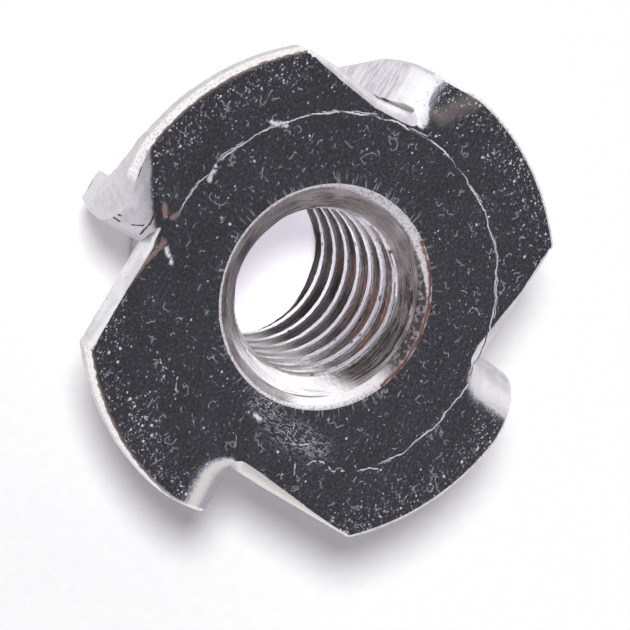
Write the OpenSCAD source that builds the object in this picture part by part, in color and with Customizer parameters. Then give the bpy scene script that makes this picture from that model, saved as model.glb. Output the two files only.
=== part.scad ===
// Four-prong tee nut: one piece of steel, cold formed from a round blank.
// A flat round flange carries a threaded barrel. Four slivers of the
// flange are sheared free along a chord and folded down into prongs.
// The nut stands on the barrel's end, with the flange's outer face up.

/* [Flange] */
// Diameter of the flange
flange_d = 25.3; // [24.5:0.1:30]
// Thickness of the flange and of the prongs
flange_t = 1.7; // [1.2:0.1:2]
// Bevel along both edges of the rim
rim_bevel = 0.2; // [0.1:0.05:0.25]

/* [Barrel] */
// Overall height, from the barrel's end to the outer face
nut_h = 12; // [11:0.5:20]
// Outside diameter of the barrel
barrel_d = 11.8; // [11.6:0.1:12.6]
// Bevel around the barrel's end
barrel_bevel = 0.35; // [0.2:0.05:0.4]
// Fillet where the barrel meets the flange
barrel_fillet = 0.6; // [0.3:0.1:0.8]

/* [Bore] */
// Diameter of the bore at the thread's crests (M10 x 1.5)
bore_d = 8.5; // [8.4:0.05:8.65]
// Diameter of the countersunk mouth at the outer face
mouth_d = 11.2; // [10:0.1:11.4]
// Depth of the countersunk mouth
mouth_depth = 1.15; // [0.6:0.05:1.5]
// Width of the worn lip around the mouth
mouth_lip = 0.15; // [0.05:0.05:0.3]
// Depth of the lip
mouth_lip_depth = 0.1; // [0.05:0.05:0.2]
// Diameter of the countersink at the barrel's end, just over the thread's roots
exit_d = 10.1; // [9.4:0.1:10.2]
// Depth of the countersink at the barrel's end
exit_depth = 0.5; // [0.3:0.05:0.8]

/* [Prongs] */
// Number of prongs
prongs = 4; // [3:1:4]
// Distance of the shear cut from the axis, where it leaves the rim
cut_rim = 10.05; // [9.8:0.05:10.4]
// Distance of the shear cut from the axis, at its root
cut_root = 9.7; // [9.4:0.05:9.8]
// How much further out each cut and its prong stand, anticlockwise from +X
cut_out = [0, -0.3, 0.35, 0.1];
// Radius of the rounded root of the cut
cut_root_r = 0.9; // [0.5:0.1:1]
// Distance of the prong's inner edge from the axis, at the fold
prong_in = 9.95; // [9.9:0.05:10.1]
// How far before the radial line the fold starts
fold_back = 1.75; // [1:0.05:2]
// Outside radius of the fold
fold_r = 2.5; // [2.1:0.05:2.8]
// How much wider each fold is, anticlockwise from +X
fold_wider = [0, 0.25, 0, 1.2];
// Angle of the fold
fold_deg = 84; // [75:1:90]
// How much further each prong is folded, anticlockwise from +X
fold_more = [0, 0, 0, 8];
// How far the prong's outer edge draws in from the rim
prong_draw = 0.3; // [0.3:0.05:0.5]
// Depth of the prongs' points below the outer face
prong_h = 8.9; // [7:0.1:10]
// Length of the flat at full width, before it tapers
prong_shoulder = 0.3; // [0.3:0.1:2]
// Width left at the point, which lies on the prong's inner edge
prong_tip_w = 0.35; // [0.2:0.05:0.5]

/* [Hidden] */
$fn = 96;

flange_r = flange_d / 2;
barrel_r = barrel_d / 2;
bore_r = bore_d / 2;
mouth_r = mouth_d / 2;
exit_r = exit_d / 2;
flange_z = nut_h - flange_t;
// how far before the fold the sheet is free, and how far its strip reaches back into the flange
fold_free = 0.2;
fold_lap = 0.8;
// how little the flat lies under the line that just touches the fold
fold_ease = 0.005;

// the same values for prong i
function fold_r_of(i) = fold_r + fold_wider[i];
function fold_deg_of(i) = fold_deg + fold_more[i];
// length of its flat, from the fold to the point
function flat_l(i) = (prong_h - fold_r_of(i) * (1 - cos(fold_deg_of(i)))) / sin(fold_deg_of(i));

module flange_and_barrel() {
    rotate_extrude()
        difference() {
            polygon([
                [exit_r, 0],
                [barrel_r - barrel_bevel, 0],
                [barrel_r, barrel_bevel],
                [barrel_r, flange_z - barrel_fillet],
                [barrel_r + barrel_fillet, flange_z - barrel_fillet],
                [barrel_r + barrel_fillet, flange_z],
                [flange_r - rim_bevel, flange_z],
                [flange_r, flange_z + rim_bevel],
                [flange_r, nut_h - rim_bevel],
                [flange_r - rim_bevel, nut_h],
                [mouth_r + mouth_lip, nut_h],
                [mouth_r, nut_h - mouth_lip_depth],
                [bore_r, nut_h - mouth_depth],
                [bore_r, exit_depth]
            ]);
            translate([barrel_r + barrel_fillet, flange_z - barrel_fillet])
                circle(r = barrel_fillet);
        }
}

// what the shear and the fold leave open in the flange
module notch(i) {
    // the cut's end at the rim
    rim_o = cut_rim + cut_out[i];
    cut_end = [rim_o, sqrt(pow(flange_r, 2) - pow(rim_o, 2))];
    // centre of the cut's rounded root, and the angle at which the cut runs off it
    root_c = [cut_root + cut_out[i] + cut_root_r, cut_root_r - fold_back - fold_free];
    root_run = cut_end - root_c;
    root_a = atan2(root_run.y, root_run.x) + acos(cut_root_r / norm(root_run));
    // the straight of the cut, from its root to a point past the rim
    cut_from = root_c + cut_root_r * [cos(root_a), sin(root_a)];
    cut_past = cut_from + 1.4 * (cut_end - cut_from);
    translate([0, 0, flange_z - 1])
        linear_extrude(flange_t + 2) {
            polygon([
                [root_c.x, -fold_back - fold_free],
                [flange_r + 2, -fold_back - fold_free],
                [flange_r + 2, cut_past.y],
                cut_past,
                cut_from
            ]);
            translate(root_c)
                circle(r = cut_root_r);
        }
}

// all that lies inside a surface folded at radius r, seen along the fold,
// with the fold's centre at the origin and the flange on the left
module inside_fold(i, r, over) {
    deg = fold_deg_of(i);
    run = flat_l(i) + 1 + over;
    back = 1 + over;
    translate([-fold_lap - over, -back])
        square([fold_lap + over, back + r]);
    rotate(-deg)
        translate([0, -back])
            square([run, back + r - fold_ease]);
    intersection() {
        circle(r = r);
        polygon([[0, 0], [-r, 2 * r], [2 * r, 2 * r], [3 * r, -r]]);
    }
}

// the sliver of blank between the shear cut and the rim, folded down
module prong(i) {
    r = fold_r_of(i);
    flat = flat_l(i);
    inner = prong_in + cut_out[i];
    translate([0, -fold_back, nut_h - r])
        difference() {
            intersection() {
                translate([inner, 0, 0])
                    rotate([90, 0, 90])
                        linear_extrude(flange_r - inner)
                            difference() {
                                inside_fold(i, r, 0);
                                inside_fold(i, r - flange_t, 1);
                            }
                translate([0, fold_back, -flange_r])
                    cylinder(h = 2 * flange_r, r = flange_r - prong_draw);
            }
            // the flat is pointed: its outer edge runs in to its inner one
            rotate([-fold_deg_of(i), 0, 0])
                translate([0, 0, r - flange_t - 1])
                    linear_extrude(flange_t + 2)
                        polygon([
                            [flange_r, 0],
                            [flange_r - prong_draw, prong_shoulder],
                            [inner + prong_tip_w, flat],
                            [inner - 1, flat],
                            [inner - 1, flat + 2],
                            [flange_r + 1, flat + 2],
                            [flange_r + 1, 0]
                        ]);
        }
}

module tee_nut() {
    color("silver") {
        difference() {
            flange_and_barrel();
            for (i = [0 : prongs - 1])
                rotate([0, 0, i * 360 / prongs])
                    notch(i);
        }
        for (i = [0 : prongs - 1])
            rotate([0, 0, i * 360 / prongs])
                prong(i);
    }
}

tee_nut();
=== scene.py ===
import math
import bpy
import bmesh
from mathutils import Matrix, Vector, noise
from mathutils.geometry import delaunay_2d_cdt
from mathutils.kdtree import KDTree


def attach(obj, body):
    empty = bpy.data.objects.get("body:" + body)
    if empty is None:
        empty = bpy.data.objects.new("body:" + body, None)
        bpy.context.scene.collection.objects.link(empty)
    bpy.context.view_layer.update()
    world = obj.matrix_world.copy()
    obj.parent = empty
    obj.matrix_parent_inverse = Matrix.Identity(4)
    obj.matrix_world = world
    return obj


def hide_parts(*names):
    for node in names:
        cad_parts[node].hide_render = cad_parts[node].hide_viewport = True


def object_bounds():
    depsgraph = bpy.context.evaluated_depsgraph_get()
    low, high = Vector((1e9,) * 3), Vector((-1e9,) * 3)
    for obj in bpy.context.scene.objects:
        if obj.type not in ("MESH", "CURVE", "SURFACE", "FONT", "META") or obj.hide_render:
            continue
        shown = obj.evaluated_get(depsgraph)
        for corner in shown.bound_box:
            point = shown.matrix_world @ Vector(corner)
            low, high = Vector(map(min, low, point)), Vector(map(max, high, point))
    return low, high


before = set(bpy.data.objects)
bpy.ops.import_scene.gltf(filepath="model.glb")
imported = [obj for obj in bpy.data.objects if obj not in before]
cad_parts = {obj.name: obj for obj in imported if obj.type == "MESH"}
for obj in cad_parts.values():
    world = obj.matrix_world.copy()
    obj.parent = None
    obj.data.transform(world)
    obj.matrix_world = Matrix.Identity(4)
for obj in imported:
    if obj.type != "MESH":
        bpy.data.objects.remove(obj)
cad_low, cad_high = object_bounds()


# --- The table, the room and the camera -------------------------------------
# A white sheet lies on a table in a pale room with a dark ceiling. The camera
# looks down on the nut's flange and into its bore, from 30 cm away.

def node(tree, kind, inputs=None, **settings):
    """Adds a node. inputs maps a socket's name or number to a value or to another node's socket."""
    made = tree.nodes.new(kind)
    for name, value in settings.items():
        setattr(made, name, value)
    for name, value in (inputs or {}).items():
        if isinstance(value, bpy.types.NodeSocket):
            tree.links.new(value, made.inputs[name])
        else:
            made.inputs[name].default_value = value
    return made


def math_of(operation, *values, clamp=False):
    """What one Math node makes of these values, at least one of which is another node's socket."""
    tree = next(value.id_data for value in values if isinstance(value, bpy.types.NodeSocket))
    made = node(tree, "ShaderNodeMath", dict(enumerate(values)), operation=operation, use_clamp=clamp)
    return made.outputs[0]


def ramp(value, low, high, to_low=0.0, to_high=1.0):
    """value's place between low and high, eased at both ends."""
    return node(value.id_data, "ShaderNodeMapRange",
                {"Value": value, "From Min": low, "From Max": high, "To Min": to_low, "To Max": to_high},
                interpolation_type="SMOOTHSTEP").outputs[0]


def blend(factor, a, b):
    """Colour a where factor is 0, and b where it is 1."""
    return node(factor.id_data, "ShaderNodeMix", {0: factor, 6: a, 7: b}, data_type="RGBA").outputs[2]


def new_material(name):
    """An empty material: itself and its node tree."""
    material = bpy.data.materials.new(name)
    material.use_nodes = True
    material.node_tree.nodes.clear()
    return material, material.node_tree


def seen_directly(tree):
    """1 for what the camera sees, itself or in metal or glass, and 0 for light on other things."""
    path = node(tree, "ShaderNodeLightPath")
    in_other = math_of("MAXIMUM", path.outputs["Is Glossy Ray"], path.outputs["Is Transmission Ray"])
    return math_of("MAXIMUM", path.outputs["Is Camera Ray"], in_other)


sheet_reach = 3.0                    # metres from the nut to each side, far past what the camera sees
sheet_corners = [(x * sheet_reach, y * sheet_reach, cad_low[2])
                 for x, y in ((-1, -1), (1, -1), (1, 1), (-1, 1))]
sheet_mesh = bpy.data.meshes.new("sheet")
sheet_mesh.from_pydata(sheet_corners, [], [(0, 1, 2, 3)])
sheet = bpy.data.objects.new("sheet", sheet_mesh)
bpy.context.scene.collection.objects.link(sheet)

sheet_white, tree = new_material("white sheet")
spot = node(tree, "ShaderNodeTexCoord").outputs["Object"]
fibres = node(tree, "ShaderNodeTexNoise", {"Vector": spot, "Scale": 1500.0, "Detail": 3.0}).outputs[0]
fibre_shade, fibre_white = (0.86, 0.865, 0.85, 1), (0.88, 0.885, 0.87, 1)
nap = node(tree, "ShaderNodeBump", {"Height": fibres, "Strength": 0.1, "Distance": 0.0002}).outputs[0]
paper = node(tree, "ShaderNodeBsdfDiffuse",
             {"Color": blend(ramp(fibres, 0.35, 0.65), fibre_shade, fibre_white), "Normal": nap})
# a glow of the paper's own, seen by the camera and in the steel: even all round, which keeps the backdrop
# white, and stronger where the bore shows it, a painted pool of light under the bore
glow_everywhere, painted_light_in_bore = 0.13, 0.5
from_axis = node(tree, "ShaderNodeVectorMath", {0: spot}, operation="LENGTH").outputs["Value"]
under_bore = ramp(from_axis, 0.0052, 0.0042)
glow = math_of("MULTIPLY_ADD", under_bore, painted_light_in_bore, glow_everywhere)
lift = node(tree, "ShaderNodeEmission",
            {"Color": (0.93, 0.88, 1.0, 1), "Strength": math_of("MULTIPLY", seen_directly(tree), glow)})
both = node(tree, "ShaderNodeAddShader", {0: paper.outputs[0], 1: lift.outputs[0]})
node(tree, "ShaderNodeOutputMaterial", {"Surface": both.outputs[0]})
sheet_mesh.materials.append(sheet_white)

room = bpy.data.worlds.new("pale room with a dark ceiling")
room.use_nodes = True
tree = room.node_tree
tree.nodes.clear()
up = node(tree, "ShaderNodeSeparateXYZ",
          {0: node(tree, "ShaderNodeTexCoord").outputs["Generated"]}).outputs["Z"]
pale_wall, dark_ceiling = (1.0, 0.945, 1.03, 1), (0.055, 0.055, 0.06, 1)
walls = blend(ramp(up, 0.50, 0.78), pale_wall, dark_ceiling)
open_air = node(tree, "ShaderNodeLightPath").outputs["Is Camera Ray"]
room_light = 0.45                    # what falls on the nut and the sheet; the steel mirrors all of it
light = node(tree, "ShaderNodeBackground",
             {"Color": blend(open_air, walls, (1, 1, 1, 1)),
              "Strength": math_of("MULTIPLY_ADD", seen_directly(tree), 1 - room_light, room_light)})
node(tree, "ShaderNodeOutputWorld", {"Surface": light.outputs[0]})
bpy.context.scene.world = room

# for each lamp: which way it stands, its strength, how many degrees wide it is, and whether the steel
# mirrors it, because the window is too soft to show there as a lamp of its own
for name, stands, strength, width, in_steel in (("window", (-0.172, -0.488, 0.856), 2.75, 11, False),
                                                ("reflector", (-0.75, 0.1, 0.40), 0.5, 50, True)):
    lamp = bpy.data.lights.new(name, "SUN")
    lamp.energy = strength
    lamp.angle = math.radians(width)
    lamp_object = bpy.data.objects.new(name, lamp)
    lamp_object.rotation_euler = Vector(stands).to_track_quat("Z", "Y").to_euler()
    lamp_object.visible_glossy = in_steel
    bpy.context.scene.collection.objects.link(lamp_object)

lean, twist = math.radians(26.85), math.radians(118.61)
camera_off = (-0.000559, -0.000874, 0.298523)    # metres aside, and off the flange's face
camera = bpy.data.cameras.new("camera")
camera.sensor_width = 36
camera.lens = 342.86
camera.clip_start, camera.clip_end = 0.01, 20
camera_object = bpy.data.objects.new("camera", camera)
camera_object.matrix_world = (
    Matrix.Translation((0, 0, cad_high[2])) @ Matrix.Rotation(lean, 4, "X") @ Matrix.Rotation(twist, 4, "Z")
    @ Matrix.Translation(camera_off))
bpy.context.scene.collection.objects.link(camera_object)
bpy.context.scene.camera = camera_object
bpy.context.scene.view_settings.view_transform = "Standard"


# --- The thread --------------------------------------------------------------
# M10 x 1.5, right-handed, cut by a tap from the flange side. It is a strip that
# winds up the bore, cut back by the countersinks at both ends.

mm = 0.001                           # all sizes from here on are in mm
columns = 192                        # points in every ring round the axis
pitch, crest_r, root_r = 1.5, 4.25, 5.0
crest_flat, root_flat = 1 / 4, 1 / 8            # the flats of the thread's section, in pitches
rows_in_pitch, turns = 16, 9
nut_h = 12.0
cone_foot, cone_slope = 10.85, 1.35 / 1.05      # the countersink in the flange
thread_top = 11.6
exit_r, exit_h = 5.05, 0.5                      # the one at the barrel's end


def new_tree(name, inputs):
    """A Geometry Nodes tree with these named inputs: its group input and output nodes come with it."""
    tree = bpy.data.node_groups.new(name, "GeometryNodeTree")
    tree.interface.new_socket("Mesh", in_out="OUTPUT", socket_type="NodeSocketGeometry")
    tree.interface.new_socket("Mesh", in_out="INPUT", socket_type="NodeSocketGeometry")
    for label, kind in inputs:
        tree.interface.new_socket(label, in_out="INPUT", socket_type="NodeSocket" + kind)
    return tree, tree.nodes.new("NodeGroupInput"), tree.nodes.new("NodeGroupOutput")


thread_inputs = [("Columns", "Int"), ("Rows in a pitch", "Int"), ("Rows", "Int"), ("Pitch", "Float"),
                 ("Crest radius", "Float"), ("Depth", "Float"), ("Top", "Float"),
                 ("Cone foot", "Float"), ("Cone slope", "Float"), ("Exit radius", "Float"),
                 ("Exit height", "Float"), ("Tear", "Float"), ("Seed", "Float"), ("Start", "Float"),
                 ("Finish", "Material")]
thread_tree, given, result = new_tree("tapped thread", thread_inputs)
size = {label: given.outputs[label] for label, kind in thread_inputs}

grid = node(thread_tree, "GeometryNodeMeshGrid",
            {"Size X": 1.0, "Size Y": 1.0, "Vertices X": math_of("ADD", size["Columns"], 1.0),
             "Vertices Y": math_of("ADD", size["Rows"], 1.0)})
where = node(thread_tree, "GeometryNodeInputPosition").outputs[0]
place = node(thread_tree, "ShaderNodeSeparateXYZ", {0: where})
turn = math_of("ADD", place.outputs["X"], 0.5)
row = math_of("ROUND", math_of("MULTIPLY", math_of("ADD", place.outputs["Y"], 0.5), size["Rows"]))
pitches = math_of("DIVIDE", row, size["Rows in a pitch"])
height = math_of("MULTIPLY", size["Pitch"], math_of("SUBTRACT", math_of("ADD", pitches, turn), 1.0))
height = math_of("MINIMUM", math_of("MAXIMUM", height, 0.0), size["Top"])
# how far this row is from the middle of the groove, in pitches, and how deep it is cut there
in_pitch = math_of("FRACT", math_of("SUBTRACT", pitches, crest_flat / 2))
off_root = math_of("ABSOLUTE", math_of("SUBTRACT", in_pitch, 0.5))
flank = (1 - crest_flat - root_flat) / 2
groove = math_of("DIVIDE", math_of("SUBTRACT", 0.5 - crest_flat / 2, off_root), flank, clamp=True)
angle = math_of("MULTIPLY", math_of("ADD", turn, size["Start"]), math.tau)
east, north = math_of("COSINE", angle), math_of("SINE", angle)
way = node(thread_tree, "ShaderNodeCombineXYZ", {"X": east, "Y": north}).outputs[0]
on_crest = node(thread_tree, "ShaderNodeCombineXYZ",
                {"X": math_of("MULTIPLY", east, size["Crest radius"]),
                 "Y": math_of("MULTIPLY", north, size["Crest radius"]), "Z": height}).outputs[0]
# the tap tears the surface, and takes away more than it leaves standing
rough = node(thread_tree, "ShaderNodeTexNoise",
             {"Vector": on_crest, "W": size["Seed"], "Scale": 3600.0, "Detail": 2.0},
             noise_dimensions="4D").outputs[0]
torn = math_of("MULTIPLY", math_of("SUBTRACT", rough, 0.42), size["Tear"])
thread_r = math_of("ADD", math_of("MULTIPLY_ADD", groove, size["Depth"], size["Crest radius"]), torn)
above_foot = math_of("SUBTRACT", height, size["Cone foot"])
cone_r = math_of("MULTIPLY_ADD", above_foot, size["Cone slope"], size["Crest radius"])
exit_depth = math_of("SUBTRACT", size["Exit radius"], size["Crest radius"])
exit_cone = math_of("SUBTRACT", size["Exit radius"],
                    math_of("MULTIPLY", math_of("DIVIDE", height, size["Exit height"]), exit_depth))
radius = math_of("MAXIMUM", thread_r, math_of("MAXIMUM", cone_r, exit_cone))
flat = node(thread_tree, "ShaderNodeVectorMath", {0: way, "Scale": radius}, operation="SCALE").outputs[0]
up = node(thread_tree, "ShaderNodeCombineXYZ", {"Z": height}).outputs[0]
point = node(thread_tree, "ShaderNodeVectorMath", {0: flat, 1: up}, operation="ADD").outputs[0]
wound = node(thread_tree, "GeometryNodeSetPosition", {"Geometry": grid.outputs[0], "Position": point})
joined = node(thread_tree, "GeometryNodeMergeByDistance", {"Geometry": wound.outputs[0], "Distance": 1e-6})
real = node(thread_tree, "GeometryNodeRealizeInstances", {"Geometry": joined.outputs[0]})
dressed = node(thread_tree, "GeometryNodeSetMaterial",
               {"Geometry": real.outputs[0], "Material": size["Finish"]})
thread_tree.links.new(dressed.outputs[0], result.inputs[0])


def new_group(name, inputs, outputs):
    """A shader node group with these inputs and outputs, each (name, kind): its tree and its end sockets."""
    group = bpy.data.node_groups.new(name, "ShaderNodeTree")
    for label, kind in outputs:
        group.interface.new_socket(label, in_out="OUTPUT", socket_type="NodeSocket" + kind)
    for label, kind in inputs:
        group.interface.new_socket(label, in_out="INPUT", socket_type="NodeSocket" + kind)
    return group, group.nodes.new("NodeGroupInput").outputs, group.nodes.new("NodeGroupOutput").inputs


def vector_of(operation, *values):
    """What one Vector Math node makes of these values: a vector, or the number that a measure gives."""
    made = node(values[0].id_data, "ShaderNodeVectorMath", dict(enumerate(values)), operation=operation)
    return made.outputs["Value" if operation in ("LENGTH", "DISTANCE", "DOT_PRODUCT") else "Vector"]


def scaled(vector, factor):
    """The vector times a number."""
    made = node(vector.id_data, "ShaderNodeVectorMath", {0: vector, "Scale": factor}, operation="SCALE")
    return made.outputs["Vector"]


def grain(place, scale, detail=2.0, seed=0.0, colour=False):
    """Noise at this many grains to the mm."""
    if seed:
        place = vector_of("ADD", place, (seed * 17, seed * 5, seed * 11))
    made = node(place.id_data, "ShaderNodeTexNoise", {"Vector": place, "Scale": scale, "Detail": detail})
    return made.outputs["Color" if colour else "Fac"]


def weaker(mask, factor):
    """The mask times a number, or times another mask."""
    return math_of("MULTIPLY", mask, factor)


def all_but(mask):
    """1 where the mask is 0, and 0 where it is 1."""
    return math_of("SUBTRACT", 1.0, mask)


def drawn_by(group, place, **values):
    """What a node group with a Place input draws there. values are its other inputs."""
    return node(place.id_data, "ShaderNodeGroup", {"Place": place, **values}, node_tree=group).outputs[0]


def in_mm(tree):
    """The place on the nut, in mm."""
    return scaled(node(tree, "ShaderNodeTexCoord").outputs["Object"], 1000.0)


def shaken(place, by, scale):
    """The place moved at random by up to this far, so that what is drawn there turns ragged."""
    push = vector_of("SUBTRACT", grain(place, scale, colour=True), (0.5, 0.5, 0.5))
    return vector_of("ADD", place, scaled(push, 2 * by))


def on_plan(place):
    """The place seen from above, with no height."""
    return vector_of("MULTIPLY", place, (1, 1, 0))


def off_axis(place):
    """How far the place is from the nut's axis."""
    return vector_of("LENGTH", on_plan(place))


# what a turning tool leaves: fine lines that run round the bore
turned_lines, given, result = new_group("turned lines", [("Place", "Vector"), ("Spacing", "Float")],
                                        [("Lines", "Float")])
tree = turned_lines
way = scaled(vector_of("NORMALIZE", on_plan(given["Place"])), 1.6)
way = node(tree, "ShaderNodeSeparateXYZ", {0: way})
height = node(tree, "ShaderNodeSeparateXYZ", {0: given["Place"]}).outputs["Z"]
across = math_of("MULTIPLY_ADD", height, 0.8, off_axis(given["Place"]))
drawn_out = node(tree, "ShaderNodeCombineXYZ",
                 {"X": way.outputs["X"], "Y": way.outputs["Y"],
                  "Z": math_of("DIVIDE", across, given["Spacing"])}).outputs[0]
lines = node(tree, "ShaderNodeTexNoise", {"Vector": drawn_out, "Scale": 1.0, "Detail": 2.0})
tree.links.new(lines.outputs[0], result["Lines"])

# a line or streak between two points
stroke, given, result = new_group("stroke", [("Place", "Vector"), ("From", "Vector"), ("To", "Vector"),
                                             ("Width", "Float"), ("Softness", "Float")], [("Mask", "Float")])
tree = stroke
run = vector_of("SUBTRACT", given["To"], given["From"])
here = vector_of("SUBTRACT", given["Place"], given["From"])
share = math_of("DIVIDE", vector_of("DOT_PRODUCT", here, run),
                vector_of("DOT_PRODUCT", run, run), clamp=True)
gap = vector_of("DISTANCE", here, scaled(run, share))
half = math_of("MULTIPLY", given["Width"], 0.5)
faded_out = math_of("MULTIPLY", half, math_of("ADD", 1.0, given["Softness"]))
full_in = math_of("MULTIPLY", half, math_of("SUBTRACT", 1.0, given["Softness"]))
tree.links.new(ramp(gap, faded_out, full_in), result["Mask"])


def strokes(place, paths, width, softness=0.4):
    """One mask for strokes along several paths of points in mm. Points without a height are for a plan."""
    mask = None
    for path in paths:
        for a, b in zip(path, path[1:]):
            one = drawn_by(stroke, place, From=(*a, 0)[:3], To=(*b, 0)[:3], Width=width, Softness=softness)
            mask = math_of("MAXIMUM", mask, one) if mask else one
    return mask


def steel(colour, roughness, metallic, height, depth):
    """The end of every steel on the nut. depth is what the height stands for, in metres."""
    tree = colour.id_data
    bump = node(tree, "ShaderNodeBump", {"Height": height, "Strength": 1.0, "Distance": depth})
    made = node(tree, "ShaderNodeBsdfPrincipled", {"Base Color": colour, "Roughness": roughness,
                                                   "Metallic": metallic, "Normal": bump.outputs[0]})
    node(tree, "ShaderNodeOutputMaterial", {"Surface": made.outputs[0]})


# the thread's crests are bright and burred; its flanks and roots are painted dark brown-grey in random
# patches, a painted dark reflection in the grooves
painted_groove_dark, painted_groove_grey = (0.24, 0.215, 0.205, 1), (0.52, 0.485, 0.48, 1)
lit_wall_pale, lit_wall_crest_dark = (0.90, 0.88, 0.90, 1), (0.16, 0.14, 0.14, 1)
copper_reflection_colour, tool_mark = (0.62, 0.36, 0.28, 1), (0.2, 0.17, 0.16, 1)
crest_bright, burr_black = (0.92, 0.91, 0.93, 1), (0.04, 0.035, 0.035, 1)
thread_steel, tree = new_material("tapped steel")
place = in_mm(tree)
lines = drawn_by(turned_lines, place, Spacing=0.09)
flecks = grain(place, 5.0, 3.0)
crest_band = ramp(math_of("MULTIPLY_ADD", flecks, 0.12, off_axis(place)), 4.48, 4.38)
groove_patches = grain(place, 0.45, 2.0, 4.0)
# the grooves painted dark brown-grey in random patches, a painted dark reflection
dull = blend(ramp(groove_patches, 0.35, 0.62), painted_groove_dark, painted_groove_grey)
# one side of the bore is painted pale, a painted highlight where that wall catches the light, and its crests
# are painted dark there
painted_lit_wall = ramp(vector_of("DOT_PRODUCT", place, (1, 0.1, 0)), 3.0, 4.4)
dull = blend(painted_lit_wall, dull, lit_wall_pale)
# copper-brown strokes on the bore's wall, a painted warm reflection
painted_copper_bore = weaker(strokes(shaken(place, 0.3, 1.2), [
    ((-1.0, 4.6, 9.4), (-2.1, 4.3, 3.4)), ((0.9, 4.7, 9.2), (0.2, 4.8, 6.8))], 1.3, 0.7), 0.75)
dull = blend(painted_copper_bore, dull, copper_reflection_colour)
dull = blend(ramp(lines, 0.38, 0.3), dull, tool_mark)
burr = ramp(grain(place, 2.6, 3.0, 7.0), 0.66, 0.69)
bright = blend(burr, crest_bright, burr_black)
# on the painted pale side the crests are painted dark
bright = blend(weaker(painted_lit_wall, 0.85), bright, lit_wall_crest_dark)
steel(blend(crest_band, dull, bright), ramp(lines, 0.3, 0.7, 0.2, 0.42), all_but(weaker(painted_lit_wall, 0.75)),
      math_of("MULTIPLY_ADD", lines, 0.7, flecks), 0.00003)


def made_by(tree, values):
    """The plain mesh that a Geometry Nodes tree makes from these values."""
    blank = bpy.data.objects.new("blank", bpy.data.meshes.new("blank"))
    bpy.context.scene.collection.objects.link(blank)
    modifier = blank.modifiers.new("nodes", "NODES")
    modifier.node_group = tree
    for item in tree.interface.items_tree:
        if item.in_out == "INPUT" and item.name in values:
            modifier[item.identifier] = values[item.name]
    depsgraph = bpy.context.evaluated_depsgraph_get()
    mesh = bpy.data.meshes.new_from_object(blank.evaluated_get(depsgraph))
    bpy.data.objects.remove(blank)
    return mesh


thread_mesh = made_by(thread_tree, {
    "Columns": columns, "Rows in a pitch": rows_in_pitch, "Rows": rows_in_pitch * turns, "Pitch": pitch * mm,
    "Crest radius": crest_r * mm, "Depth": (root_r - crest_r) * mm, "Top": thread_top * mm,
    "Cone foot": cone_foot * mm, "Cone slope": cone_slope, "Exit radius": exit_r * mm,
    "Exit height": exit_h * mm, "Tear": 0.10 * mm, "Seed": 3.0, "Start": 60 / columns,
    "Finish": thread_steel})


# --- The countersink, its lip, and the barrel --------------------------------
# Turned surfaces: the countersink in the flange's face with its worn lip, and
# the barrel that stands under the flange, with a fillet where they meet.

barrel_r, fillet, bevel = 5.9, 0.6, 0.35
under_z = 10.3                       # the flange's underside
ring_step, ring_steps = 0.93, 10     # up the barrel, from its bevel to its fillet
lip_r, face_in = 5.6, 5.78           # the countersink's rim, and where the flat face begins


def arc(centre_r, centre_z, radius, start, end, steps):
    """Points (distance from the axis, height) along an arc, angles in degrees."""
    angles = [math.radians(start + (end - start) * i / steps) for i in range(steps + 1)]
    return [(centre_r + radius * math.cos(a), centre_z + radius * math.sin(a)) for a in angles]


top_at_cone = crest_r + (thread_top - cone_foot) * cone_slope
mouth_line = [(top_at_cone, thread_top), (lip_r - 0.13, 11.8), (lip_r - 0.03, 11.88), (lip_r + 0.05, 11.955),
              (lip_r + 0.12, 11.99), (face_in, nut_h)]
barrel_line = ([(exit_r, 0), (barrel_r - bevel, 0), (barrel_r - 0.1, 0.1), (barrel_r, bevel)]
               + [(barrel_r, bevel + ring_step * i) for i in range(1, ring_steps + 1)]
               + arc(barrel_r + fillet, under_z - fillet, fillet, 180, 90, 8)[1:])
FACE, RIM, SHEARED, UNDER, MOUTH, THREAD = range(6)
points, faces, finishes = [], [], []


def add_point(x, y, z):
    """Adds a point of the nut's skin, and gives its number."""
    points.append((x * mm, y * mm, z * mm))
    return len(points) - 1


def turned(line, finish):
    """Adds a surface of revolution through points (distance from the axis, height), and gives its rings."""
    rings = [[add_point(r * math.cos(math.tau * i / columns), r * math.sin(math.tau * i / columns), z)
              for i in range(columns)] for r, z in line]
    for lower, upper in zip(rings, rings[1:]):
        for i in range(columns):
            faces.append((lower[i - 1], lower[i], upper[i], upper[i - 1]))
            finishes.append(finish)
    return rings


mouth_rings = turned(mouth_line, MOUTH)
barrel_rings = turned(barrel_line, UNDER)

# the cone is brown-grey; one side is brushed and painted bright, a painted highlight, the next is painted
# dark in mottled patches, a painted dark reflection, and the lip is wider over there
cone_shade, cone_grey, cone_dark_patch_colour = (0.28, 0.26, 0.25, 1), (0.56, 0.54, 0.54, 1), (0.13, 0.115, 0.11, 1)
cone_lit_grey, cone_lit_white, cone_line = (0.86, 0.84, 0.84, 1), (1, 1, 1, 1), (0.3, 0.27, 0.25, 1)
lip_shade, lip_pale, lip_copper_colour = (0.50, 0.48, 0.49, 1), (0.84, 0.82, 0.85, 1), (0.45, 0.27, 0.21, 1)
mouth_steel, tree = new_material("countersunk steel")
place = in_mm(tree)
lines = drawn_by(turned_lines, place, Spacing=0.05)
flecks = grain(place, 7.0, 3.0)
cloud = grain(place, 0.7, 4.0)
side = vector_of("NORMALIZE", on_plan(place))
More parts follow.
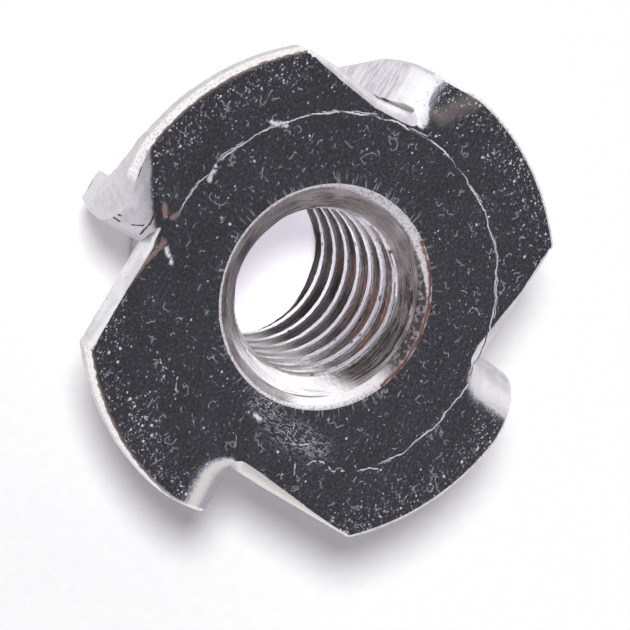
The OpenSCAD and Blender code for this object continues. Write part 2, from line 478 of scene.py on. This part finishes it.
# the side painted bright is a painted highlight; the side painted dark, in patches, is a painted dark
# reflection
cone_lit_side = ramp(vector_of("DOT_PRODUCT", side, (0.75, 0.66, 0)), 0.80, 0.95)
cone_dark_side = ramp(vector_of("DOT_PRODUCT", side, (-0.3, 0.954, 0)), 0.5, 0.95)
wider = ramp(vector_of("DOT_PRODUCT", side, (-0.95, 0.31, 0)), 0.6, 0.97)
ragged_r = math_of("MULTIPLY_ADD", flecks, 0.14, off_axis(place))
widened = math_of("MULTIPLY_ADD", wider, 0.28, weaker(cone_lit_side, 0.08))
lip = ramp(math_of("ADD", ragged_r, widened), 5.64, 5.74)
streaks = math_of("MULTIPLY_ADD", lines, 0.5, cloud)
colour = blend(ramp(streaks, 0.55, 0.95), cone_shade, cone_grey)
patches = ramp(grain(place, 4.0, 5.0, 2.0), 0.36, 0.54)
colour = blend(weaker(cone_dark_side, patches), colour, cone_dark_patch_colour)
bright = blend(ramp(streaks, 0.5, 0.85), cone_lit_grey, cone_lit_white)
colour = blend(cone_lit_side, colour, bright)
colour = blend(weaker(ramp(lines, 0.35, 0.28), 0.6), colour, cone_line)
colour = blend(lip, colour, blend(ramp(flecks, 0.32, 0.56), lip_shade, lip_pale))
# copper-brown strokes along the lip, a painted warm reflection
painted_copper = strokes(shaken(place, 0.12, 3.0), [
    ((-4.7, 3.2, 12), (-3.6, 4.45, 12), (-2.1, 5.3, 12), (-0.5, 5.7, 12), (1.1, 5.6, 12),
     (2.5, 5.1, 12))], 0.2)
colour = blend(painted_copper, colour, lip_copper_colour)
lip_and_lit_side = weaker(math_of("MAXIMUM", lip, cone_lit_side), all_but(painted_copper))
steel(colour, math_of("MULTIPLY_ADD", lip, 0.15, ramp(cloud, 0.3, 0.7, 0.26, 0.42)),
      all_but(weaker(lip_and_lit_side, 0.55)),
      math_of("MULTIPLY_ADD", lines, 0.8, flecks), 0.00002)

# the barrel and the flange's underside are an even satin grey, with a few dark flecks
barrel_shade, barrel_grey, barrel_fleck = (0.50, 0.48, 0.49, 1), (0.68, 0.67, 0.68, 1), (0.36, 0.33, 0.32, 1)
barrel_steel, tree = new_material("barrel and underside")
place = in_mm(tree)
lines = drawn_by(turned_lines, place, Spacing=0.12)
cloud = grain(place, 0.5, 4.0, 2.0)
flecks = grain(place, 6.0, 3.0)
colour = blend(ramp(cloud, 0.35, 0.65), barrel_shade, barrel_grey)
colour = blend(ramp(flecks, 0.64, 0.72), colour, barrel_fleck)
steel(colour, ramp(cloud, 0.3, 0.7, 0.3, 0.5), 1.0,
      math_of("MULTIPLY_ADD", lines, 0.4, flecks), 0.00002)


# --- The flange and its four prongs -------------------------------------------
# Punched from strip as a round blank. Each prong is a sliver sheared free along
# a chord and folded down, so the cuts are rolled over on top and torn below.

flange_r, sheet_t = 12.65, 1.7
prong_r = 12.46                      # as far out as a prong stands, where it is drawn in from the rim
fold_end = 12.5                      # how far from the axis a fold's outer end is taken
slit = 0.12                          # how far the shear has opened at its root
spacing = 0.12                       # between the points of the blank's edge

# for each prong: the line (out from the axis, along the shear) where the sheet starts to bend; the flange's
# side of the cut and the width rolled over there, by the distance along; how far along the prong's outer
# face stands; the fold's angle; how deep it reaches; both sides of its tip; how far out its outer edge is
# at edge_at from the fold; and, on one, how wide that edge is rounded over, by the distance along
edge_at = (1.0, 2.6, 3.8, 5.5)
prongs = [
    dict(start=((9.1, 1.2), (9.24, -0.15), (9.47, -0.96), (9.91, -1.64), (10.46, -1.95), (12.6, -1.9)),
         cut=((-0.35, 9.7), (0.5, 9.76), (2.0, 9.86), (7.45, 10.08)),
         roll=((-0.4, 0.6), (1.2, 0.58), (2.0, 0.52), (3.6, 0.38), (5, 0.22), (6.5, 0.12)),
         face=0.75, angle=84, reach=8.9, tip=(10.0, 10.3), edge=(12.42, 12.3, 11.9, 11.3)),
    dict(start=((8.85, 1.3), (9.03, 0.28), (9.38, -0.4), (9.78, -1.06), (10.27, -1.44), (12.6, -1.75)),
         cut=((0.2, 9.5), (1.6, 9.5), (2.5, 9.6), (7.6, 9.95)),
         roll=((0, 0.6), (1.4, 0.65), (3.2, 0.48), (5, 0.2)),
         face=1.0, angle=84, reach=8.9, tip=(10.0, 10.3), edge=(12.45, 12.35, 12.0, 11.4)),
    dict(start=((9.4, 1.2), (9.55, -0.4), (10.1, -1.0), (10.8, -1.5), (12.6, -1.9)),
         cut=((-0.1, 10.2), (0.7, 10.08), (1.3, 10.0), (2.6, 9.9), (5.4, 10.28), (7.2, 10.36)),
         roll=((0, 0.65), (1.3, 0.55), (2.6, 0.47), (5.1, 0.45), (6.4, 0.3), (7.2, 0.2)),
         face=0.75, angle=84, reach=8.9, tip=(10.2, 10.5), edge=(12.45, 12.45, 12.35, 12.05)),
    dict(start=((9.7, 1.1), (9.94, 0.75), (10.4, 0.1), (11.2, -1.1), (11.76, -2.2), (12.6, -3.4)),
         cut=((1.0, 9.88), (2.1, 9.8), (7.5, 10.0)), roll=((1, 0.14), (2.4, 0.12), (4, 0.06)),
         face=2.0, angle=94, reach=8.75, tip=(10.0, 10.35), edge=(12.45, 12.4, 12.3, 12.1),
         rounded=((-1.6, 0.16), (0.4, 0.8), (2.5, 0.6), (4.5, 0.3), (7, 0.08))),
]


def eased(value):
    """The value kept from 0 to 1, and eased at both ends."""
    value = min(1.0, max(0.0, value))
    return value * value * (3 - 2 * value)


def between(pairs, x):
    """The height at x of the line through these (x, height) pairs."""
    for (x0, y0), (x1, y1) in zip(pairs, pairs[1:]):
        if x <= x1:
            return y0 + (y1 - y0) * max(0.0, (x - x0) / (x1 - x0))
    return pairs[-1][1]


def fold_start(prong, out):
    """Where the sheet starts to bend, at this distance from the axis."""
    return between(prong["start"], out)


thinnest = 0.5                       # the smallest radius of the fold's middle layer
tight = 0.3                          # and of any other
settles = 1.4                        # how far past the fold its layers are level again
dip_past, dip_along, dip_aside = 0.9, 1.1, 0.6   # how far the flange is drawn down round a cut's root


def folded(prong, out, along, depth, strip):
    """Where a point of the flat blank goes: (distance out, distance along, height). The flange beside the
    root of the cut is drawn down a little with the prong."""
    start, turn = fold_start(prong, out), math.radians(prong["angle"])
    radius = max(prong["face"] - start, 1.0)
    neutral = max(radius - sheet_t / 2, thinnest)
    layer = max(radius - depth, tight)
    behind = depth + layer - radius
    phi = max(0.0, along - start) / neutral
    past = max(0.0, phi - turn) * neutral
    phi = min(phi, turn)
    drop = past - behind * min(1.0, past / settles)
    lag = behind * eased(1 + min(0.0, along - start) / 2)
    bent = Vector((out, min(along, start) - lag + layer * math.sin(phi) + past * math.cos(turn),
                   nut_h - depth - layer * (1 - math.cos(phi)) - drop * math.sin(turn)))
    root_s, root_o = prong["cut"][0]
    share = eased((root_s + dip_past - along) / dip_along) * eased((out - root_o) / dip_aside + 1)
    return Vector((out, along, nut_h - depth)).lerp(bent, 1.0 if strip else share)


def tip_of(prong):
    """How far along the blank the prong's tip is, so that it reaches as deep as it should."""
    out = sum(prong["tip"]) / 2
    start, turn = fold_start(prong, out), math.radians(prong["angle"])
    radius = prong["face"] - start
    return (start + max(radius - sheet_t / 2, thinnest) * turn
            + (prong["reach"] - radius * (1 - math.cos(turn))) / math.sin(turn))


def spaced(path):
    """The path of (point, kind, on the prong) with its points about one spacing apart."""
    out = [path[0]]
    for a, b in zip(path, path[1:]):
        steps = max(1, round((b[0] - a[0]).length / spacing))
        out += [(a[0].lerp(b[0], i / steps), b[1], b[2]) for i in range(1, steps + 1)]
    return out


def rim_at(along):
    """How far out the prong's edge stands here, on the rim or drawn in from it."""
    return min(math.sqrt(flange_r ** 2 - along * along), prong_r)


lead = 0.2                           # how far the rim's arc runs on along the prong's outer edge
tip_cut = 0.1                        # how far before the prong's tip its corners begin


def outer_line(prong):
    """The prong's outer edge as (distance along, distance from the axis)."""
    first = fold_start(prong, fold_end)
    return ([(first + lead, rim_at(first + lead))]
            + [(first + d, o) for d, o in zip(edge_at, prong["edge"])]
            + [(tip_of(prong) - tip_cut, prong["tip"][1])])


def toward(angle):
    """1 mm in this direction."""
    return Vector((math.cos(angle), math.sin(angle)))


def blank_edge(prong, next_prong):
    """One quarter of the blank's edge, anticlockwise from the fold's outer end to the next fold."""
    first, (tip_in, tip_out) = fold_start(prong, fold_end), prong["tip"]
    tip_at = tip_of(prong)
    outer = outer_line(prong)
    root_s, root_o = prong["cut"][0]
    inner = [(root_s, root_o + slit)]
    inner += [(root_s + d, between(prong["cut"], root_s + d) + 0.13) for d in (1.0, 2.5)]
    inner.append((tip_at - tip_cut, tip_in))
    # over the fold, along the prong's outer edge, and round its tip
    path = [(Vector((rim_at(s), s)), "rim", True) for s in (first - 0.4, first - 0.2, first, first + lead)]
    for i in range(int((tip_at - first - 0.6) / 0.25)):
        s = first + 0.45 + 0.25 * i
        path.append((Vector((between(outer, s), s)), "rim", True))
    path += [(Vector(corner), "tip", True) for corner in (
        (tip_out, tip_at - tip_cut), (tip_out - 0.06, tip_at), (tip_in + 0.06, tip_at),
        (tip_in, tip_at - tip_cut))]
    # back along the shear to its root, round it, and out along the flange's side of the cut
    for i in range(25):
        s = tip_at - 0.3 + (root_s - tip_at + 0.3) * i / 24
        path.append((Vector((between(inner, s), s)), "prong side", True))
    centre = Vector((root_o + slit / 2, root_s))
    path += [(centre + slit / 2 * toward(math.radians(a)), "root", a > 270) for a in range(350, 180, -20)]
    last_s, last_o = prong["cut"][-1]
    for i in range(24):
        s = root_s + (last_s - root_s) * i / 24
        path.append((Vector((between(prong["cut"], s), s)), "cut", False))
    # round the worn corner, and along the rim to the next fold
    corner = math.atan2(last_s, last_o)
    path += [(flange_r * k * toward(corner + a), "corner", False)
             for a, k in ((-0.004, 0.982), (0.004, 0.995), (0.018, 1.0))]
    last = math.pi / 2 + math.asin((fold_start(next_prong, fold_end) - 0.5) / flange_r)
    path += [(flange_r * toward(corner + 0.03 + (last - corner - 0.03) * i / 70), "rim", False)
             for i in range(71)]
    return spaced(path)


def turned_by(quarter, x, y):
    """The point (x, y) after this many quarter turns about the axis."""
    for _ in range(quarter % 4):
        x, y = -y, x
    return x, y


# the whole edge: each point, its kind, whether it is on a prong, and its quarter
edge = [(Vector(turned_by(quarter, *point)), kind, strip, quarter)
        for quarter, prong in enumerate(prongs)
        for point, kind, strip in blank_edge(prong, prongs[(quarter + 1) % 4])]
edge = [here for i, here in enumerate(edge) if (here[0] - edge[i - 1][0]).length > 0.015]
count = len(edge)


def mean_of(values, i, reach):
    """The mean of the values within reach places of this one, round the edge."""
    total = values[i] * 1.0
    for j in range(1, reach + 1):
        total = total + values[(i + j) % count] + values[i - j]
    return total / (2 * reach + 1)


normals = []
for i in range(count):
    run = edge[(i + 1) % count][0] - edge[i - 1][0]
    normals.append(Vector((run.y, -run.x)).normalized())
outward = [mean_of(normals, i, 3).normalized() for i in range(count)]

# how far each kind of edge is rolled over on top, inwards and down, and how ragged it is
rolled = {"rim": (0.16, 0.14), "tip": (0.04, 0.05), "prong side": (0.07, 0.1), "root": (0.06, 0.08),
          "corner": (0.12, 0.12)}
raggedness = {"rim": 0.02, "tip": 0.05, "prong side": 0.09, "root": 0.04, "cut": 0.03, "corner": 0.02}
roll = []
for xy, kind, strip, quarter in edge:
    along, prong = turned_by(-quarter, *xy)[1], prongs[quarter]
    if kind == "rim" and strip and "rounded" in prong:
        roll.append(Vector((1, 1)) * between(prong["rounded"], along))
    elif kind == "cut":
        width = between(prong["roll"], along) * eased((along - prong["cut"][0][0]) / 0.6 + 0.35)
        roll.append(Vector((width, 0.1 + 0.45 * width)))
    else:
        roll.append(Vector(rolled[kind]))
roll = [mean_of(roll, i, 4) for i in range(count)]
torn_by = [raggedness[kind] for xy, kind, strip, quarter in edge]
torn_by = [mean_of(torn_by, i, 3) for i in range(count)]
worn = 0.12                          # how far the lower edge is rounded


def edge_section(roll_in, roll_down):
    """The edge's section as (inset, depth), from the top face to the underside."""
    steps = []
    for i in range(5):
        over = math.radians(90 * i / 4)
        steps.append((roll_in * (1 - math.sin(over)),
                      roll_down * (0.8 * (1 - math.cos(over)) + 0.2 * math.sin(over))))
    steps += [(0.0, roll_down + (sheet_t - worn - roll_down) * i / 6) for i in range(1, 7)]
    return steps + [(worn / 3, sheet_t - worn / 3), (worn, sheet_t)]


def off_cut(xy, quarter, strip):
    """The point's place on a blank whose prongs stand clear of their cuts, for filling it with faces."""
    out, along = turned_by(-quarter, *xy)
    past = along - prongs[quarter]["cut"][0][0] + 0.2
    clear = (0.5 * eased(past) + 0.25 * max(0.0, past)) if strip else 0.0
    return Vector(turned_by(quarter, out + clear, along))


dip_from = 8.7                       # nearer the axis than this the flange stays flat


def on_nut(xy, quarter, strip, depth):
    """Adds the point of the blank where it ends up on the folded nut."""
    out, along = turned_by(-quarter, *xy)
    height = nut_h - depth
    if strip or (out > dip_from and -6 < along < 3):
        out, along, height = folded(prongs[quarter], out, along, depth, strip)
    return add_point(*turned_by(quarter, out, along), height)


levels = len(edge_section(0.1, 0.1))
wall = []                            # for each point of the edge, its points from the top down
spread = []                          # and the first and last of them on the spread blank
for i, (xy, kind, strip, quarter) in enumerate(edge):
    column, ends = [], []
    for level, (inset, depth) in enumerate(edge_section(*roll[i])):
        uneven = noise.noise(Vector((xy.x * 1.7, xy.y * 1.7, depth * 1.2)))
        uneven += 0.6 * noise.noise(Vector((xy.x * 5, xy.y * 5, depth * 3 + 9)))
        torn = torn_by[i] * uneven * (0.3 if level == 0 else 0.6 + 0.6 * depth / sheet_t)
        here = xy + outward[i] * (torn - inset - 0.02)
        column.append(on_nut(here, quarter, strip, depth))
        if level in (0, levels - 1):
            ends.append(off_cut(here, quarter, strip))
    wall.append(column)
    spread.append(ends)
for i in range(count):
    a, b = wall[i - 1], wall[i]
    finish = RIM if edge[i][1] == "rim" else SHEARED
    for j in range(levels - 1):
        faces.append((a[j], a[j + 1], b[j + 1], b[j]))
        finishes.append(finish)


def bend_points(prong):
    """Points (distance out, distance along, on the prong) where the sheet bends, on both sides of the cut."""
    root_s, root_o = prong["cut"][0]
    made = []
    for row in range(80):
        along = fold_start(prong, fold_end) - 0.9 + 0.15 * row
        past_root = along > root_s - 0.2
        for cell in range(25):
            out = 8.6 + 0.17 * (cell + 0.5 * (row % 2))
            if along <= 2.6 and not (past_root and out > root_o + 0.1):
                made.append((out, along, False))
            if past_root and out >= root_o - 0.1:
                made.append((out, along, True))
    return made


def fill(level, depth, ring, finish):
    """Fills the top or the underside between the edge and a ring round the bore."""
    places = [ends[0 if level == 0 else 1] for ends in spread]
    ids = [column[level] for column in wall] + ring
    near = KDTree(count)
    for i, place in enumerate(places):
        near.insert((*place, 0), i)
    near.balance()
    places += [Vector(points[v][:2]) / mm for v in ring]
    # the points where the sheet bends are used if they are clear of the edge
    for quarter, prong in enumerate(prongs):
        for out, along, strip in bend_points(prong):
            xy = Vector(turned_by(quarter, out, along))
            place = off_cut(xy, quarter, strip)
            found, i, gap = near.find((*place, 0))
            if gap > 0.1 and (place - Vector(found[:2])).dot(outward[i]) < 0:
                places.append(place)
                ids.append(on_nut(xy, quarter, strip, depth))
    rims = [(i, (i + 1) % count) for i in range(count)]
    rims += [(count + i, count + (i + 1) % columns) for i in range(columns)]
    made, _, triangles, origins, _, _ = delaunay_2d_cdt(places, rims, [], 2, 1e-6)
    assert all(origins), "an edge crosses another"
    for triangle in triangles:
        corners = [origins[v][0] for v in triangle]
        if not all(count <= c < count + columns for c in corners):
            faces.append(tuple(ids[c] for c in (corners if level == 0 else reversed(corners))))
            finishes.append(finish)


fill(0, 0.0, mouth_rings[-1], FACE)
fill(levels - 1, sheet_t, barrel_rings[-1], UNDER)

# small nicks and pits, where a random share of the cells has one
nicks, given, result = new_group("nicks", [("Place", "Vector"), ("Spacing", "Float"), ("Share", "Float")],
                                 [("Mask", "Float")])
tree = nicks
close = math_of("DIVIDE", 1.0, given["Spacing"])
cell = node(tree, "ShaderNodeTexVoronoi",
            {"Vector": scaled(shaken(given["Place"], 0.05, 7.0), close), "Scale": 1.0})
luck = node(tree, "ShaderNodeSeparateColor", {0: cell.outputs["Color"]})
reach = math_of("MULTIPLY_ADD", luck.outputs[1], 0.28, 0.12)
spots = ramp(cell.outputs["Distance"], reach, math_of("MULTIPLY", reach, 0.6))
chosen = math_of("LESS_THAN", luck.outputs[0], given["Share"])
tree.links.new(weaker(spots, chosen), result["Mask"])

# thin squiggles, broken into short lengths
squiggles, given, result = new_group("squiggles", [("Place", "Vector"), ("Spacing", "Float"),
                                                   ("Width", "Float"), ("Share", "Float")],
                                     [("Mask", "Float")])
tree = squiggles
close = scaled(given["Place"], math_of("DIVIDE", 1.0, given["Spacing"]))
level = math_of("ABSOLUTE", math_of("SUBTRACT", grain(close, 1.0, 2.5, 1.0), 0.5))
rarer = math_of("MULTIPLY_ADD", given["Share"], -0.35, 0.68)
broken = math_of("SUBTRACT", grain(close, 1.3, 1.0, 9.0), rarer)
line = ramp(level, given["Width"], 0.0)
tree.links.new(weaker(line, ramp(broken, 0.0, 0.05)), result["Mask"])

# the face is worn to a dark mirror with many bright scratches; where the sheet bends it is dull and pale
mirror_shade, mirror_grey, scratch_white = (0.46, 0.47, 0.51, 1), (0.70, 0.71, 0.77, 1), (0.88, 0.88, 0.9, 1)
satin_shade, satin_lilac, satin_fleck = (0.50, 0.48, 0.52, 1), (0.64, 0.62, 0.66, 1), (0.5, 0.47, 0.47, 1)
bend_top_highlight, bend_steep_shade, bend_top_lit_beige = (0.74, 0.72, 0.72, 1), (0.42, 0.39, 0.43, 1), (0.80, 0.77, 0.74, 1)
drawn_shade, drawn_pale, glint_white = (0.52, 0.50, 0.54, 1), (0.74, 0.72, 0.76, 1), (1, 1, 1, 1)
copper_colour, crack_black = (0.46, 0.29, 0.24, 1), (0.03, 0.025, 0.025, 1)
face_steel, tree = new_material("flange face")
place = in_mm(tree)
ragged = shaken(on_plan(place), 0.05, 5.0)
wavy = shaken(ragged, 0.22, 0.9)
radius = off_axis(place)
east, north, height = node(tree, "ShaderNodeSeparateXYZ", {0: place}).outputs[:3]
flecks, cloud = grain(place, 6.0, 3.0), grain(place, 0.6, 5.0)


def most(*masks):
    """The strongest of these masks."""
    made = masks[0]
    for mask in masks[1:]:
        made = math_of("MAXIMUM", made, mask)
    return made


# it is busier with nicks toward the rim, and in clouds
outer = ramp(math_of("MULTIPLY_ADD", cloud, 2.5, radius), 11.4, 13.2)
busy = math_of("ADD", weaker(outer, 0.5), ramp(cloud, 0.4, 0.75, 0.04, 0.16))
# the mark that a die has pressed round the face, by the prongs' roots; it fades on one side
ring_r, twin_r = 9.35, 9.43
fades = ramp(vector_of("DOT_PRODUCT", wavy, (0.937, -0.349, 0)), 3.6, 2.4)
ring_gap = math_of("ABSOLUTE", math_of("SUBTRACT", off_axis(wavy), ring_r))
ring_broken = weaker(ramp(grain(place, 0.8, 3.0, 3.0), 0.36, 0.55, 0.25, 1.0), fades)
ring = weaker(ramp(ring_gap, 0.045, 0.0), ring_broken)
wavier = shaken(wavy, 0.12, 1.4)
twin_gap = math_of("ABSOLUTE", math_of("SUBTRACT", off_axis(wavier), twin_r))
twin_broken = weaker(ramp(grain(place, 0.7, 1.0, 5.0), 0.5, 0.56), fades)
twin = weaker(ramp(twin_gap, 0.035, 0.0), twin_broken)
# short marks out from the countersink
around = scaled(vector_of("NORMALIZE", on_plan(place)), 48.0)
outwards = node(tree, "ShaderNodeCombineXYZ", {"Z": math_of("MULTIPLY", radius, 1.2)}).outputs[0]
by_mouth = ramp(math_of("MULTIPLY_ADD", cloud, 1.4, radius), 7.3, 6.6)
ticks = weaker(ramp(grain(vector_of("ADD", around, outwards), 1.0, 1.0), 0.57, 0.7), by_mouth)
# scratches and knocks
drawn = strokes(shaken(ragged, 0.16, 1.9), [
    ((7.3, 2.2), (6.9, 3.0), (6.5, 3.4)), ((8.1, 3.4), (7.6, 3.6), (7.3, 4.3), (7.5, 4.9), (7.3, 5.5)),
    ((6.3, 5.7), (6.9, 6.2), (6.5, 6.7), (6.3, 7.4)), ((6.2, -6.9), (6.9, -6.2), (6.8, -5.5)),
    ((7.0, -5.1), (7.5, -4.9), (7.7, -4.5)), ((5.7, 1.6), (6.6, 1.9)), ((7.9, 2.9), (8.6, 3.1))], 0.055, 0.7)
bold = weaker(strokes(shaken(ragged, 0.12, 2.5), [
    ((1.7, -9.0), (2.15, -8.4)), ((6.8, -0.35), (6.9, 0.0)), ((-2.3, -8.75), (-3.0, -8.8)),
    ((-6.25, -7.3), (-6.5, -6.5))], 0.2, 1.0), ramp(flecks, 0.38, 0.52))
stretched = vector_of("MULTIPLY", ragged, (2.6, 0.8, 1))
scuffed = weaker(drawn_by(squiggles, stretched, Spacing=0.42, Width=0.035, Share=0.8),
                 strokes(wavy, [((6.1, -0.3), (6.9, 1.4), (6.8, 3.6))], 1.5, 0.9))
fine = most(weaker(drawn_by(nicks, place, Spacing=0.14, Share=weaker(busy, 0.6)), 0.62),
            weaker(drawn_by(nicks, place, Spacing=0.22, Share=weaker(busy, 0.3)), 0.75),
            weaker(drawn_by(squiggles, place, Spacing=0.26, Width=0.05, Share=weaker(busy, 0.6)), 0.22),
            weaker(drawn_by(squiggles, ragged, Spacing=0.9, Width=0.02, Share=0.25), 0.3))
marks = most(fine, weaker(ticks, 0.25), weaker(ring, 0.85), weaker(twin, 0.5), weaker(drawn, 0.65), bold,
             weaker(scuffed, 0.26))
mirror = blend(cloud, mirror_shade, mirror_grey)
mirror = blend(marks, mirror, scratch_white)
# by the outer end of one prong the mirror runs on into its bend
runs_on = strokes(wavy, [((-12.3, 1.8), (-11.6, 0.4))], 1.9, 0.95)
uneven_height = math_of("MULTIPLY_ADD", flecks, 0.09, height)
bent = ramp(math_of("ADD", uneven_height, weaker(runs_on, 0.6)), 12.01, 11.93)
# the bends are lilac-grey; the one at +Y is painted whiter at its top, a painted highlight, and the one at +X
# is beige there and painted darker lower down, a painted shade on its steep side
satin = blend(ramp(grain(place, 1.2, 4.0, 6.0), 0.35, 0.65), satin_shade, satin_lilac)
satin = blend(weaker(ramp(north, 8.0, 8.5), ramp(height, 10.9, 11.6)), satin, bend_top_highlight)
satin = blend(ramp(east, 5.0, 8.0), satin, blend(ramp(height, 11.4, 11.8), bend_steep_shade, bend_top_lit_beige))
# the one at -X has a painted glint, a white patch that stands for a highlight, with drawn lines below it
lines = grain(vector_of("MULTIPLY", place, (1.2, 2.0, 5.0)), 1.0, 3.0)
satin = blend(weaker(ramp(east, -8.6, -9.2), ramp(height, 10.3, 9.3)), satin,
              blend(ramp(lines, 0.35, 0.6), drawn_shade, drawn_pale))
# the painted glint: a white patch that stands for a highlight
painted_glint = strokes(shaken(on_plan(place), 0.2, 2.0), [((-11.7, -0.2), (-10.4, -0.2))], 1.3, 0.9)
satin = blend(weaker(painted_glint, ramp(height, 9.0, 9.8)), satin, glint_white)
satin = blend(ramp(flecks, 0.36, 0.28), satin, satin_fleck)
# copper-brown marks, a painted warm reflection, and dark tears where the sheet has been drawn
painted_copper = weaker(strokes(shaken(ragged, 0.1, 2.0), [
    ((1.4, -9.25), (2.9, -9.7), (4.5, -10.0)), ((-0.2, -10.2), (0.3, -9.9)), ((-0.1, -9.35), (0.2, -9.5))],
    0.24, 0.8), ramp(flecks, 0.3, 0.45))
# a copper patch on the -X prong's bend, also a painted warm reflection
painted_copper_bend = weaker(strokes(wavy, [((-10.7, 0.85), (-12.1, 1.9))], 0.8, 0.9), 0.48)
tears = [((-2.7, -12.42), (-2.1, -12.38), (-1.3, -12.2), (-0.56, -12.0)),
         ((-2.47, 8.87), (-1.91, 9.11), (-1.45, 9.19), (-0.9, 9.27), (-0.05, 9.31)),
         ((1.4, -12.15), (1.6, -11.2)), ((1.25, -11.75), (1.35, -11.4)), ((1.45, -10.8), (1.2, -10.5)),
         ((0.45, -10.4), (1.15, -10.35), (1.65, -10.3)), ((-10.1, -0.6), (-10.15, -0.9)),
         ((-0.7, -10.04), (-1.3, -10.08))]
cracks = strokes(shaken(on_plan(place), 0.06, 3.5), tears, 0.08, 0.5)
colour = blend(bent, mirror, satin)
colour = blend(most(painted_copper, painted_copper_bend), colour, copper_colour)
colour = blend(cracks, colour, crack_black)
unmirrored = most(marks, weaker(bent, 0.66), weaker(painted_copper, 0.5), weaker(painted_copper_bend, 0.6), cracks)
steel(colour,
      most(weaker(marks, 0.55), weaker(bent, 0.42), weaker(painted_copper, 0.5), ramp(flecks, 0.35, 0.7, 0.2, 0.3)),
      all_but(weaker(unmirrored, 0.75)), math_of("MULTIPLY_ADD", marks, 1.5, flecks), 0.000015)

# the rim is satin, torn and coarse in its upper half beside one prong, with a dark line under the face
rim_shade, rim_grey, rim_line = (0.60, 0.58, 0.61, 1), (0.68, 0.66, 0.69, 1), (0.17, 0.11, 0.09, 1)
torn_shade, torn_white = (0.6, 0.57, 0.54, 1), (0.97, 0.96, 0.95, 1)
rim_steel, tree = new_material("rim")
place = in_mm(tree)
height = node(tree, "ShaderNodeSeparateXYZ", {0: shaken(place, 0.12, 3.0)}).outputs["Z"]
flecks, coarse = grain(place, 7.0, 3.0), grain(place, 2.4, 3.0, 2.0)
smooth_part = strokes(shaken(on_plan(place), 0.1, 3.0), [((0.9, -12.5), (2.0, -11.5))], 3.0, 0.2)
torn_half = weaker(ramp(height, 10.9, 11.08), ramp(smooth_part, 1.0, 0.0))
colour = blend(ramp(coarse, 0.35, 0.65), rim_shade, rim_grey)
colour = blend(torn_half, colour, blend(ramp(flecks, 0.32, 0.5), torn_shade, torn_white))
north = node(tree, "ShaderNodeSeparateXYZ", {0: place}).outputs["Y"]
edge_line = weaker(ramp(height, 11.88, 11.94), ramp(north, 0.0, -5.0, 0.15, 0.85))
colour = blend(edge_line, colour, rim_line)
steel(colour, math_of("MULTIPLY_ADD", torn_half, 0.12, 0.36), 1.0,
      math_of("MULTIPLY_ADD", coarse, weaker(torn_half, 2.0), weaker(flecks, 0.4)), 0.00004)

# the sheared edges are pale and drawn in lines, with dark pits, and beige where the one at +X is rolled over
sheared_shade, sheared_pale = (0.66, 0.64, 0.67, 1), (0.86, 0.85, 0.87, 1)
rolled_beige, pit_black = (0.88, 0.85, 0.81, 1), (0.05, 0.04, 0.04, 1)
sheared_steel, tree = new_material("sheared edges")
place = in_mm(tree)
flecks = grain(place, 5.0, 4.0)
drawn_down = grain(vector_of("MULTIPLY", place, (5.0, 5.0, 0.8)), 1.0, 3.0)
cloud = grain(place, 0.8, 4.0)
axes = node(tree, "ShaderNodeSeparateXYZ", {0: place})
rolled_over = ramp(axes.outputs["Z"], 11.3, 11.6)
beige = weaker(rolled_over, ramp(axes.outputs["X"], 5.0, 8.0))
colour = blend(ramp(cloud, 0.35, 0.65), sheared_shade, sheared_pale)
colour = blend(beige, colour, rolled_beige)
pits = weaker(ramp(grain(place, 3.6, 4.0, 8.0), 0.67, 0.71), all_but(rolled_over))
cracks = strokes(shaken(on_plan(place), 0.06, 3.5), tears, 0.09, 0.5)
dark = math_of("MAXIMUM", pits, cracks)
colour = blend(dark, colour, pit_black)
steel(colour, ramp(cloud, 0.3, 0.7, 0.4, 0.5), math_of("MULTIPLY_ADD", dark, -0.4, 0.55),
      math_of("MULTIPLY_ADD", drawn_down, 0.8, flecks), 0.00002)


# --- The nut in one piece -----------------------------------------------------
# The real nut is a single piece of cold-formed steel. Its face, prongs, barrel,
# countersinks and thread are joined here along their edges into one closed skin.

crease_at = math.radians(38)         # an edge that turns more sharply than this stays sharp
join_gap, speck = 2e-6, 1e-7         # metres: how near points are joined, and what is too small to keep

nut_mesh = bpy.data.meshes.new("nut")
nut_mesh.from_pydata(points, [], faces)
nut_mesh.polygons.foreach_set("material_index", finishes)
skin = bmesh.new()
skin.from_mesh(nut_mesh)
first_thread_face = len(skin.faces)
skin.from_mesh(thread_mesh)
skin.faces.ensure_lookup_table()
for face in skin.faces[first_thread_face:]:
    face.material_index = THREAD
bmesh.ops.remove_doubles(skin, verts=skin.verts, dist=join_gap)
bmesh.ops.dissolve_degenerate(skin, dist=speck, edges=skin.edges)
loose = [v for v in skin.verts if not v.link_faces]
bmesh.ops.delete(skin, geom=loose, context="VERTS")
bmesh.ops.recalc_face_normals(skin, faces=skin.faces)
for face in skin.faces:
    face.smooth = True
# the border of the flat face is sharp too, so that it stays a mirror right up to its edge
for crease in skin.edges:
    meets = {face.material_index for face in crease.link_faces}
    face_border = FACE in meets and len(meets) > 1
    crease.smooth = crease.calc_face_angle(math.pi) < crease_at and not face_border
skin.to_mesh(nut_mesh)
skin.free()
nut = bpy.data.objects.new("nut", nut_mesh)
bpy.context.scene.collection.objects.link(nut)
# in the order of the finishes' numbers
for material in (face_steel, rim_steel, sheared_steel, barrel_steel, mouth_steel, thread_steel):
    nut_mesh.materials.append(material)
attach(nut, "root")
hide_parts("tee_nut")
